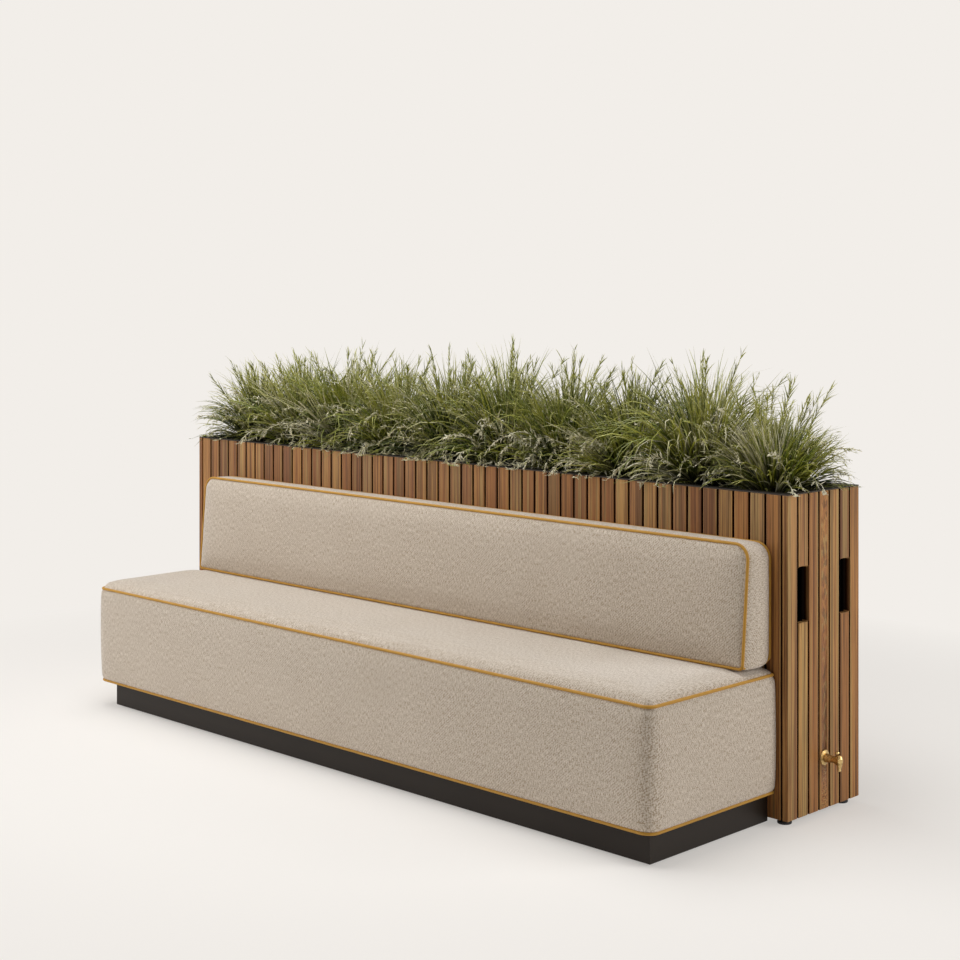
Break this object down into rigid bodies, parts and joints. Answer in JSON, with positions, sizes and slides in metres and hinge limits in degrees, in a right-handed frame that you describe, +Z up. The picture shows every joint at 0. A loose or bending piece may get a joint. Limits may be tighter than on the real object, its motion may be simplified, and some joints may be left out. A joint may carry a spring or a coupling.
{
  "type": "bench with planter",
  "caption": "Long upholstered bench on a dark plinth, with a loose back cushion, in front of a slatted hardwood planter of ornamental grass with a brass drain tap.",
  "frame": {"origin": "on the floor, under the middle of the whole object with its plants", "axes": "+X along the length, to the end with the tap; +Y from the seat's front to the planter's back; +Z up"},
  "size_m": [3.06, 1.019, 1.3638],
  "materials": {
    "hardwood": "oiled, open grain, eased edges",
    "frame_steel": "black powder coat",
    "rim_steel": "anthracite powder coat, satin",
    "plinth_steel": "dark bronze powder coat, satin",
    "plywood": "bare birch",
    "upholstery": "woven linen mix, matt",
    "piping": "woven bias piping, slight sheen",
    "brass": "aged, brushed",
    "rubber": "matt black",
    "soil": "damp potting soil",
    "grass": "leaf blades"
  },
  "bodies": {
    "bench": {"panel_front": "hardwood", "panel_back": "hardwood", "panel_left": "hardwood", "panel_right": "hardwood", "post_front_left": "frame_steel", "post_front_middle": "frame_steel", "post_front_right": "frame_steel", "post_back_left": "frame_steel", "post_back_middle": "frame_steel", "post_back_right": "frame_steel", "base_rail_left": "frame_steel", "base_rail_middle": "frame_steel", "base_rail_right": "frame_steel", "bearer_front": "frame_steel", "bearer_back": "frame_steel", "planter_foot_front_left": "rubber", "planter_foot_front_right": "rubber", "planter_foot_back_left": "rubber", "planter_foot_back_right": "rubber", "drain_hose": "rubber", "tap_rosette": "brass", "tap_nut": "brass", "tap_body": "brass", "plinth_front": "plinth_steel", "plinth_right": "plinth_steel", "plinth_rear": "plinth_steel", "plinth_left": "plinth_steel", "plinth_rail_left": "frame_steel", "plinth_rail_middle": "frame_steel", "plinth_rail_right": "frame_steel", "seat_glide_front_left": "rubber", "seat_glide_front_middle": "rubber", "seat_glide_front_right": "rubber", "seat_glide_back_left": "rubber", "seat_glide_back_middle": "rubber", "seat_glide_back_right": "rubber", "seat_deck": "plywood", "seat_block": "upholstery", "seat_piping_top": "piping", "seat_piping_bottom": "piping"},
    "trough": {"trough": "rim_steel", "soil": "soil", "grass_1": "grass", "grass_2": "grass", "grass_3": "grass", "grass_4": "grass", "grass_5": "grass", "grass_6": "grass", "grass_7": "grass", "grass_8": "grass", "grass_9": "grass", "grass_10": "grass", "drain_outlet": "rubber"},
    "back_cushion": {"back_cushion": "upholstery", "back_piping_front": "piping", "back_piping_rear": "piping"},
    "tap_key": {"tap_key": "brass"}
  },
  "joints": [
    {"name": "trough_lift", "type": "slide", "parent": "bench", "child": "trough", "axis": [0, 0, 1], "range_m": [0, 0.25]},
    {"name": "back_cushion_lift", "type": "slide", "parent": "bench", "child": "back_cushion", "axis": [0, 0, 1], "range_m": [0, 0.1]},
    {"name": "tap_key_turn", "type": "hinge", "parent": "bench", "child": "tap_key", "pos_m": [1.4461, 0.244, 0.167], "axis": [0, 0, 1], "range_deg": [0, 90]}
  ]
}
